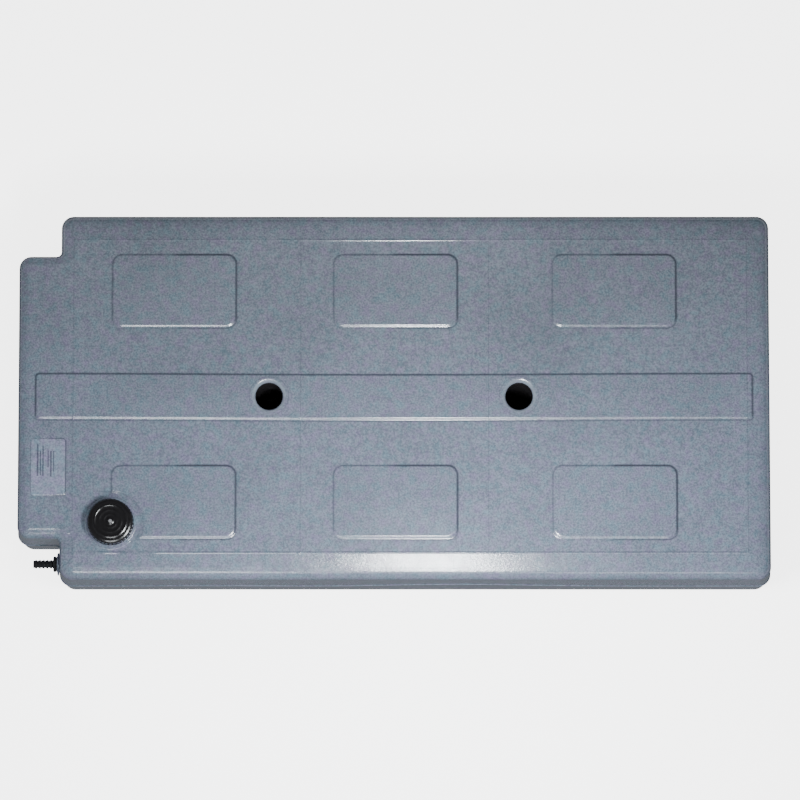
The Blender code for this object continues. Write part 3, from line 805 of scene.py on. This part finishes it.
def make_cap():
    """Screw cap with a plain foot ring, rounded grip ribs, rimmed disc and inside thread."""
    profile = rounded(
        (CAP_BORE_R, CAP_BOTTOM + 0.0004, 0),
        (CAP_BORE_R + 0.0006, CAP_BOTTOM, 0.0002),
        (CAP_FOOT_R, CAP_BOTTOM, 0.0005),
        (CAP_FOOT_R, CAP_BOTTOM + 0.0022, 0.0004),
        (CAP_FOOT_R - 0.0006, CAP_BOTTOM + 0.0026, 0),
    )
    ribbed = slice(len(profile), len(profile) + RIB_LEVELS)
    for t in np.linspace(0, 1, RIB_LEVELS):
        profile.append((CAP_SKIRT_R - 0.0014 * t, RIB_LOW + (RIB_HIGH - RIB_LOW) * t))
    profile += rounded(
        (0.0353, RIB_HIGH + 0.0004, 0),
        (0.0349, CAP_SHOULDER - 0.0009, 0.0012),
        (0.0316, CAP_SHOULDER, 0.001),
        (CAP_DISC_R + 0.0016, CAP_SHOULDER, 0.0004),
        (CAP_DISC_R + 0.001, CAP_DISC_Z, 0.0004),
        (CAP_DISC_R - 0.001, CAP_TOP, 0.0004),
        (CAP_DISC_R - 0.0016, CAP_TOP, 0.0003),
        (CAP_DISC_R - 0.003, CAP_DISC_Z, 0),
    )
    ring_z = CAP_TOP - 0.0002
    for ring_r in CAP_RINGS:
        profile += [(ring_r + 0.0013, CAP_DISC_Z), (ring_r + 0.0001, ring_z)]
        profile += [(ring_r - 0.0001, ring_z), (ring_r - 0.0013, CAP_DISC_Z)]
    collar_z = CAP_TOP - 0.0001
    profile += [(0.005, CAP_DISC_Z), (0.0044, collar_z), (VENT_HOLE_R, collar_z), (VENT_HOLE_R, CAP_CEILING)]
    profile += [(CAP_BORE_R - 0.001, CAP_CEILING), (CAP_BORE_R, CAP_CEILING - 0.001)]

    def ribs(angles, radii):
        swing = (0.5 + 0.5 * np.cos(angles * CAP_RIBS)) ** 0.55
        t = np.linspace(0, 1, RIB_LEVELS)
        depth = 0.0003 + 0.0013 * np.clip(np.sin(math.pi * t) * 4, 0, 1)
        radii[:, ribbed] -= depth * (1 - swing)
        return radii

    skin = turned(profile, CAP_RIBS * 10, ribs, FILLER)
    thread(skin, CAP_BORE_R, 0.0303, THREAD_START + THREAD_PITCH / 2, 1.5)
    return place(skin, "cap_detail", "cap", "filler_cap")


def make_neck():
    """Threaded neck with a weld flange and a spigot through the tank's wall."""
    profile = rounded(
        (NECK_BORE_R, SPIGOT_END, 0.0004),
        (SPIGOT_R, SPIGOT_END, 0.0004),
        (SPIGOT_R, FLANGE_LOW, 0),
        (FLANGE_R, FLANGE_LOW, 0.0003),
        (FLANGE_R, FLANGE_HIGH, 0.0006),
        (NECK_R, FLANGE_HIGH, 0.0005),
        (NECK_R, NECK_TOP, 0.0008),
        (NECK_BORE_R, NECK_TOP, 0.0008),
    )
    skin = turned(profile, 160, centre=FILLER)
    thread(skin, NECK_R, 0.0315, THREAD_START, 1.75)
    return place(skin, "neck_detail", "tank", "filler_neck")


def make_gasket():
    skin = turned(washer(0.0258, 0.0318, NECK_TOP + 0.0003, CAP_CEILING - 0.0003, 0.0003), 128, centre=FILLER)
    return place(skin, "gasket_detail", "gasket_ring", "cap_gasket")


def make_valve():
    """Umbrella valve: domed nub, stem and thin umbrella."""
    nub_r, stem_r = 0.003, 0.002
    head = CAP_TOP + 0.0003
    under = CAP_CEILING - 0.0003
    dome = [(nub_r * math.cos(a), head + 0.0001 + 0.0013 * math.sin(a)) for a in np.linspace(0, QUARTER, 9)]
    profile = [(0, dome[-1][1])] + dome[-2::-1]
    profile += [(nub_r, head - 0.0003), (stem_r, head - 0.0003), (stem_r, under)]
    umbrella = ((0.008, 0), (0.0085, 0.0004), (0.006, 0.0009), (0.003, 0.0014), (0, 0.0016))
    profile += [(radius, under - drop) for radius, drop in umbrella]
    skin = turned(profile, 64, centre=FILLER)
    return place(skin, "valve_detail", "cap", "vent_valve", sharp_degrees=60)


def make_bead(name, radius, thickness, z, axis, seed):
    """The rolled-out plastic round a weld, a little uneven."""
    rng = np.random.default_rng(seed)
    phases = rng.uniform(0, FULL_TURN, 6)
    ring = [
        (radius + thickness * math.cos(a), z + thickness * 0.8 * math.sin(a))
        for a in np.linspace(0, FULL_TURN, 12, endpoint=False)
    ]

    def uneven(angles, radii):
        wobble = sum(np.sin(angles * (3 + 4 * k) + phase) / (1.5 + k) for k, phase in enumerate(phases))
        return radii + 0.00012 * wobble

    return place(turned(ring, 180, uneven), name, "tank", axis=axis)


# ---- barb and its socket

BARB_WALL_X = -0.5401  # outside of the end wall at the barb's height
BARB_AXIS = Vector((BARB_WALL_X, (BARB_LOW.y + BARB_HIGH.y) / 2, (BARB_LOW.z + BARB_HIGH.z) / 2))
ALONG_BARB = Matrix.Translation(BARB_AXIS) @ Matrix.Rotation(-QUARTER, 4, "Y")
SOCKET_FLANGE = 0.0025
SOCKET_BORE_R = 0.01
SEAL_THICKNESS = 0.001
SEAL_LOW = SOCKET_FLANGE + 0.0003
HEX_LOW = SOCKET_FLANGE + SEAL_THICKNESS + 0.0006
HEX_HIGH = HEX_LOW + 0.005
HEX_HALF = 0.011
STUB_R = 0.0097
BARB_BORE_R = 0.0043
BARB_RIDGES = 5


def make_socket():
    profile = rounded(
        (SOCKET_BORE_R, SOCKET_FLANGE, 0.0006),
        (0.0175, SOCKET_FLANGE, 0.0008),
        (0.0175, 0.0003, 0.0003),
        (0.0142, 0.0003, 0),
        (0.0142, -0.016, 0.0005),
        (SOCKET_BORE_R, -0.016, 0.0005),
    )
    return place(turned(profile, 128), "socket_detail", "tank", "barb_socket", ALONG_BARB)


def make_seal():
    skin = turned(washer(SOCKET_BORE_R, 0.0125, SEAL_LOW, SEAL_LOW + SEAL_THICKNESS, 0.0004), 96)
    return place(skin, "seal_detail", "tank", "barb_seal", ALONG_BARB)


def make_barb():
    """Hose barb: stub, chamfered hexagon, then saw-tooth ridges on a hollow nose."""
    tip = BARB_AXIS.x - BARB_LOW.x
    pitch = (tip - HEX_HIGH - 0.002) / BARB_RIDGES
    profile = [(BARB_BORE_R, -0.01), (STUB_R - 0.0008, -0.01), (STUB_R, -0.0092), (STUB_R, HEX_LOW)]
    corner_r = HEX_HALF / math.cos(math.pi / 6)
    chamfer = [(HEX_HALF - 0.0002, 0), (HEX_HALF + 0.0004, 0.0003)]
    chamfer += [(corner_r - 0.0002, 0.0009), (corner_r, 0.0013)]
    cut = slice(len(profile), len(profile) + 2 * len(chamfer))
    profile += [(limit, HEX_LOW + inward) for limit, inward in chamfer]
    profile += [(limit, HEX_HIGH - inward) for limit, inward in chamfer[::-1]]
    profile += [(0.0078, HEX_HIGH), (0.0066, HEX_HIGH + 0.0006)]
    for ridge in range(BARB_RIDGES):
        foot = HEX_HIGH + 0.002 + ridge * pitch
        profile += [(0.0054, foot - 0.0003), (0.0056, foot), (0.0069, foot + 0.0003), (0.0071, foot + 0.0006)]
        profile += [(0.0071, foot + 0.0011), (0.0069, foot + 0.0016), (0.006, foot + pitch * 0.62)]
    profile += [(0.0058, tip - 0.0006), (0.0054, tip), (0.0046, tip), (BARB_BORE_R, tip - 0.0004)]

    def hexagon(angles, radii):
        sector = (angles + math.pi / 6) % (math.pi / 3) - math.pi / 6
        radii[:, cut] = np.minimum(radii[:, cut], HEX_HALF / np.cos(sector))
        return radii

    skin = turned(profile, 144, hexagon)
    return place(skin, "barb_detail", "tank", "hose_barb", ALONG_BARB, sharp_degrees=32)


# ---- materials

SCUFF = (0.27, 0.29, 0.33)
# pale lips of the tube mouths: wear and a painted highlight
MOUTH_WEAR_AND_HIGHLIGHT = (0.25, 0.29, 0.34)
MOUTH_LINE = (0.06, 0.065, 0.085)
# painted shade inside the tube bores
TUBE_BORE_SHADE = (0.036, 0.03, 0.032)
# colour of the painted shade along the relief and rims, and of the darker seam and crease lines
SHADE_AND_LINE_COLOUR = (0.035, 0.04, 0.055)
DUST = (0.05, 0.05, 0.055)
# These multiply the plastic's tone: painted shade towards the far side, and the label pad and its bars.
FAR_SIDE_SHADE = (0.93, 0.9, 0.84)
LABEL_PAD = (1.38, 1.34, 1.37)
LABEL_BAR = (0.42, 0.41, 0.43)


def opaque(value):
    """A colour with its alpha. A socket stays as it is."""
    return (*value, 1.0) if isinstance(value, tuple) else value


def fade(start, end, level):
    """Ramp stops from black to a level of grey."""
    return (start, (0, 0, 0)), (end, (level, level, level))


class Nodes:
    """A node tree, with the coordinates that its patterns follow."""

    def __init__(self, tree, coordinates):
        self.tree = tree
        self.where = self.node("TexCoord").outputs[coordinates]

    def node(self, kind, **settings):
        made = self.tree.nodes.new("ShaderNode" + kind)
        for key, value in settings.items():
            setattr(made, key, value)
        return made

    def put(self, socket, value):
        """Link a socket to another one, or give it a fixed value."""
        if isinstance(value, bpy.types.NodeSocket):
            self.tree.links.new(value, socket)
        else:
            socket.default_value = value

    def feed(self, node, **values):
        """Put values in a node's sockets by name, with _ for a space."""
        for key, value in values.items():
            self.put(node.inputs[key.replace("_", " ")], value)
        return node

    def math(self, operation, *values):
        made = self.node("Math", operation=operation)
        for socket, value in zip(made.inputs, values):
            self.put(socket, value)
        return made.outputs[0]

    def step(self, value, low, high, to_low=0.0, to_high=1.0, kind="SMOOTHSTEP"):
        """A change from to_low to to_high as the value goes from low to high."""
        made = self.node("MapRange", interpolation_type=kind)
        self.feed(made, Value=value, From_Min=low, From_Max=high, To_Min=to_low, To_Max=to_high)
        return made.outputs["Result"]

    def axes(self):
        return self.feed(self.node("SeparateXYZ"), Vector=self.where).outputs


class Material(Nodes):
    """A node material round one Principled shader, over the object's own coordinates."""

    def __init__(self, name):
        self.mat = bpy.data.materials.new(name)
        self.mat.use_nodes = True
        super().__init__(self.mat.node_tree, "Object")
        self.shader = self.tree.nodes["Principled BSDF"]

    def noise(self, scale, detail=3.0, roughness=0.55, stretch=(1, 1, 1), seed=0.0):
        """A noise value about 0.5."""
        shift = (seed, seed * 1.7, seed * 0.6)
        mapping = self.feed(self.node("Mapping"), Vector=self.where, Scale=stretch, Location=shift)
        noise = self.node("TexNoise")
        self.feed(noise, Vector=mapping.outputs["Vector"], Scale=scale, Detail=detail, Roughness=roughness)
        return noise.outputs["Fac"]

    def ramp(self, value, *stops):
        """A colour ramp through (place, colour) stops."""
        ramp = self.feed(self.node("ValToRGB"), Fac=value)
        elements = ramp.color_ramp.elements
        while len(elements) < len(stops):
            elements.new(0.5)
        for element, (at, colour) in zip(elements, stops):
            element.position = at
            element.color = opaque(colour)
        return ramp.outputs["Color"]

    def mix(self, share, first, second, blend="MIX"):
        mix = self.node("Mix", data_type="RGBA", blend_type=blend)
        self.put(mix.inputs[0], share)
        self.put(mix.inputs[6], opaque(first))
        self.put(mix.inputs[7], opaque(second))
        return mix.outputs[2]

    def spread(self, value, low, high):
        """A value about 0.5 stretched to run from low to high."""
        return self.step(value, 0.3, 0.7, low, high, "LINEAR")

    def from_axis(self, centre):
        """Distance from an upright axis."""
        off_x, off_y = (self.math("SUBTRACT", axis, at) for axis, at in zip(self.axes(), centre))
        squares = self.math("ADD", self.math("MULTIPLY", off_x, off_x), self.math("MULTIPLY", off_y, off_y))
        return self.math("SQRT", squares)

    def past_box(self, centre, half):
        """Distance past the nearer side of an upright box, negative inside."""
        past = []
        for axis, at, reach in zip(self.axes(), centre, half):
            past.append(self.math("SUBTRACT", self.math("ABSOLUTE", self.math("SUBTRACT", axis, at)), reach))
        return self.math("MAXIMUM", *past)

    def bump(self, *layers):
        """Bumps on top of each other, from (height value, distance in metres, strength)."""
        below = {}
        for height, distance, strength in layers:
            bump = self.node("Bump")
            self.feed(bump, Height=height, Distance=distance, Strength=strength, **below)
            below = {"Normal": bump.outputs["Normal"]}
        self.feed(self.shader, **below)

    def finish(self, colour, roughness, **fixed):
        self.feed(self.shader, Base_Color=colour, Roughness=roughness, **fixed)
        return self.mat


def tank_material():
    """Blue-grey polyethylene: cloudy tone, fine mottle, orange peel and light scuffs, with painted shade
    towards the far side, along the relief, on the rims and in the tube bores, and a painted highlight on the
    worn tube mouths.
    """
    m = Material("moulded_polyethylene")
    tone = m.ramp(m.noise(2.6), (0.32, (0.148, 0.172, 0.22)), (0.68, (0.196, 0.227, 0.295)))
    tint = m.noise(62.0, 3.0, 0.6, seed=3.1)
    tint = m.ramp(tint, (0.34, (0.78, 1.0, 0.98)), (0.5, (0.97, 0.97, 0.97)), (0.66, (1.08, 0.88, 1.06)))
    patch = m.ramp(m.noise(70.0, 3.0, 0.6, seed=1.3), (0.34, (0.9, 0.9, 0.91)), (0.66, (1.08, 1.08, 1.07)))
    grain = m.ramp(m.noise(330.0, 2.0, 0.7, seed=7.7), (0.36, (0.62, 0.64, 0.66)), (0.64, (1.36, 1.34, 1.33)))
    for share, mottle in ((0.8, tint), (0.9, patch), (0.7, grain)):
        tone = m.mix(share, tone, mottle, "MULTIPLY")
    scratch = m.noise(46.0, 6.0, 0.75, stretch=(1.0, 9.0, 1.0), seed=5.5)
    zone = m.noise(7.0, 2.0, 0.5, seed=9.2)
    scuff = m.math("MULTIPLY", m.ramp(scratch, *fade(0.62, 0.72, 1.0)), m.ramp(zone, *fade(0.5, 0.66, 0.4)))
    tone = m.mix(scuff, tone, SCUFF)
    # Painted shade, darker towards the far side.
    tone = m.mix(m.step(m.axes()[1], -0.15, 0.3), tone, FAR_SIDE_SHADE, "MULTIPLY")
    tone = label_tone(m, tone)
    tone = tube_tone(m, tone)
    # Painted shade along the relief and rims, with darker seam and crease lines, from the point attribute.
    shade_and_lines = m.node("Attribute", attribute_name="shade_and_lines").outputs["Fac"]
    tone = m.mix(m.step(shade_and_lines, 0.0, 1.0, 0.0, 0.8), tone, SHADE_AND_LINE_COLOUR)
    m.bump(
        (m.noise(55.0, 2.0, 0.5, seed=8.8), 0.001, 0.05),
        (m.noise(240.0, 3.0, 0.55, seed=4.4), 0.0004, 0.3),
        (m.noise(1300.0, 2.0, 0.6, seed=6.6), 0.0001, 0.2),
    )
    rough = m.spread(m.noise(60.0, 4.0, 0.6, seed=2.2), 0.13, 0.21)
    return m.finish(tone, rough, IOR=1.5, Specular_IOR_Level=0.6)


def label_tone(m, tone):
    """A pale label pad with dark bars on it."""
    pad = m.past_box(LABEL_CENTRE, (LABEL_HALF[0] - 0.001, LABEL_HALF[1] - 0.001))
    tone = m.mix(m.step(pad, -0.001, 0.0005, 1.0, 0.0), tone, LABEL_PAD, "MULTIPLY")
    for centre, half in LABEL_BARS:
        bar = m.past_box(centre, half)
        tone = m.mix(m.step(bar, -0.001, 0.0004, 1.0, 0.0), tone, LABEL_BAR, "MULTIPLY")
    return tone


def tube_tone(m, tone):
    """The hold-down tubes: pale lips that are wear with a painted highlight, a thin dark line round each
    mouth, and painted shade on the bores' walls.
    """
    around = m.math("MINIMUM", *(m.from_axis(centre) for centre in TUBE_CENTRES))
    wear_and_highlight = m.step(m.noise(90.0, seed=8.1), 0.3, 0.6, 0.25, 0.65)
    # Pale lips: wear and a painted highlight.
    tone = m.mix(m.math("MULTIPLY", m.step(around, 0.029, 0.0255), wear_and_highlight), tone, MOUTH_WEAR_AND_HIGHLIGHT)
    off_line = m.math("ABSOLUTE", m.math("SUBTRACT", around, 0.0318))
    tone = m.mix(m.step(off_line, 0.0, 0.0014, 0.35, 0.0), tone, MOUTH_LINE)
    # Painted shade on the bores' walls.
    return m.mix(m.step(around, TUBE_R + 0.0011, TUBE_R + 0.0001, 0.0, 0.97), tone, TUBE_BORE_SHADE)


def black_plastic(name, base, rough_low, rough_high, grain):
    """Moulded black plastic with a fine grain and dull handling marks."""
    m = Material(name)
    light = tuple(c * 1.8 + 0.002 for c in base)
    tone = m.mix(m.spread(m.noise(210.0, 4.0, 0.65), 0.0, 0.5), base, light)
    dust = m.ramp(m.noise(900.0, 3.0, 0.7, seed=2.5), *fade(0.66, 0.82, 0.25))
    tone = m.mix(dust, tone, DUST)
    rough = m.spread(m.noise(140.0, 4.0, 0.6, seed=1.5), rough_low, rough_high)
    m.bump((m.noise(1500.0, 2.0, 0.5, seed=3.5), 0.00008, grain))
    return m.finish(tone, rough, IOR=1.45, Specular_IOR_Level=0.4)


def rubber_material(name, base):
    m = Material(name)
    light = tuple(c * 1.5 for c in base)
    tone = m.mix(m.spread(m.noise(400.0), 0.0, 1.0), base, light)
    m.bump((m.noise(1800.0, 2.0), 0.00006, 0.3))
    return m.finish(tone, m.spread(m.noise(300.0, 2.0, seed=4.0), 0.6, 0.8))


def floor_material():
    """Near white and glowing, so that it shows pale without much light."""
    m = Material("pale_floor")
    tone = m.ramp(m.noise(2.0), (0.3, (0.8, 0.8, 0.8)), (0.7, (0.83, 0.83, 0.83)))
    m.feed(m.shader, Emission_Color=(1, 1, 1, 1), Emission_Strength=FLOOR_GLOW)
    return m.finish(tone, 0.9, Specular_IOR_Level=0.2)


def paint(ob, material):
    ob.data.materials.append(material)


# ---- floor, light and camera

FLOOR_REACH = 14.0
FLOOR_Z = -0.0008
FLOOR_GLOW = 4.0
SHADE_Z = -0.0004
SHADE_R = 0.06
LIGHT_COLOUR = (0.95, 0.98, 1.0)
WORLD_COLOUR = (0.9, 0.94, 1.0)
WORLD_LOW = 0.8  # below the horizon, as a share of overhead
WORLD_NEAR = 0.385
WORLD_FAR = 0.21
HORIZON = 1.5  # a bright band round the room, which lights the walls
CAMERA_AIM = Vector((0.0096, -0.0065, FACE_Z))
CAMERA_OFFSET = Vector((0.0, -1.42, 10.0))
VIEW_WIDTH = 1.2892  # at the aim


def stage_piece(name, loops, material):
    """A flat piece of the stage from closed loops of points."""
    skin = Skin()
    skin.faces = [skin.add(loop).tolist() for loop in loops]
    ob = skin.make(name)
    paint(ob, material)
    return ob


def make_floor():
    """A wide pale floor that doesn't light the tank, and dark discs of painted shade on it below the tubes.
    """
    square = [(x * FLOOR_REACH, y * FLOOR_REACH, FLOOR_Z) for x, y in ((-1, -1), (1, -1), (1, 1), (-1, 1))]
    floor = stage_piece("floor", [square], floor_material())
    floor.visible_diffuse = False
    floor.visible_glossy = False
    # Discs of painted shade on the floor below the tubes.
    discs = []
    for tube_x, _ in TUBE_CENTRES:
        angles = np.linspace(0, FULL_TURN, 48, endpoint=False)
        ring_x, ring_y = tube_x + SHADE_R * np.cos(angles), SHADE_R * np.sin(angles)
        discs.append(np.stack([ring_x, ring_y, np.full(len(angles), SHADE_Z)], axis=1))
    stage_piece("tube_shade", discs, rubber_material("shaded_ground", (0.004, 0.004, 0.004)))


def area_light(name, at, aim, size, power, spread=180):
    light = bpy.data.lights.new(name, "AREA")
    light.shape = "RECTANGLE"
    light.size, light.size_y = size
    light.energy = power
    light.color = LIGHT_COLOUR
    light.spread = math.radians(spread)
    ob = add_object(name, light)
    ob.location = at
    ob.rotation_euler = (Vector(aim) - Vector(at)).to_track_quat("-Z", "Y").to_euler()
    ob.visible_camera = False


def make_lights():
    """A small key over the near border, a wide strip and a short one on the same side, a soft world."""
    area_light("key", (0.07, -0.45, 1.27), (0.06, -0.28, 0.17), size=(0.19, 0.3), power=12.5, spread=150)
    area_light("strip", (0.05, -2.0, 2.7), (0.0, -0.05, 0.17), size=(1.4, 0.4), power=18)
    area_light("side", (-0.46, -0.85, 1.5), (-0.42, -0.29, 0.17), size=(0.46, 0.2), power=6)
    world = bpy.data.worlds.new("pale_studio")
    world.use_nodes = True
    w = Nodes(world.node_tree, "Generated")
    _, y, z = w.axes()
    overhead = w.step(z, -0.1, 0.95, WORLD_LOW, 1.0)
    sky = w.math("MULTIPLY", overhead, w.step(y, -0.5, 0.5, WORLD_NEAR, WORLD_FAR))
    at_horizon = w.step(w.math("ABSOLUTE", z), 0.0, 0.36, HORIZON, 0.0)
    band = w.math("MULTIPLY", at_horizon, w.step(y, -0.95, -0.2, 0.15, 1.0))
    w.feed(w.tree.nodes["Background"], Color=opaque(WORLD_COLOUR), Strength=w.math("ADD", sky, band))
    bpy.context.scene.world = world


def make_camera():
    """High above the face, a little towards -Y, as the near wall shows below the top edge."""
    data = bpy.data.cameras.new("camera")
    data.sensor_width = 36.0
    data.lens = data.sensor_width * CAMERA_OFFSET.length / VIEW_WIDTH
    data.clip_end = 80.0
    camera = add_object("camera", data)
    camera.location = CAMERA_AIM + CAMERA_OFFSET
    camera.rotation_euler = (-CAMERA_OFFSET).to_track_quat("-Z", "Y").to_euler()
    bpy.context.scene.camera = camera


# ---- build

def build():
    make_camera()
    moulded = tank_material()
    black_neck = black_plastic("black_neck", (0.01, 0.01, 0.011), 0.32, 0.46, 0.25)
    black_cap = black_plastic("black_cap", (0.005, 0.0045, 0.005), 0.13, 0.24, 0.12)
    black_barb = black_plastic("black_barb", (0.007, 0.007, 0.008), 0.24, 0.36, 0.2)
    rubber = rubber_material("black_rubber", (0.022, 0.022, 0.023))
    pale_rubber = rubber_material("grey_rubber", (0.16, 0.16, 0.165))
    paint(make_tank_skin(), moulded)
    paint(make_neck(), black_neck)
    paint(make_cap(), black_cap)
    paint(make_gasket(), rubber)
    paint(make_valve(), pale_rubber)
    paint(make_bead("neck_weld_bead", 0.0371, 0.0009, 0.0026, Matrix.Translation(FILLER), 11), moulded)
    paint(make_socket(), moulded)
    paint(make_bead("socket_weld_bead", 0.0178, 0.0008, 0.0006, ALONG_BARB, 12), moulded)
    paint(make_seal(), rubber)
    paint(make_barb(), black_barb)
    make_floor()
    make_lights()


build()
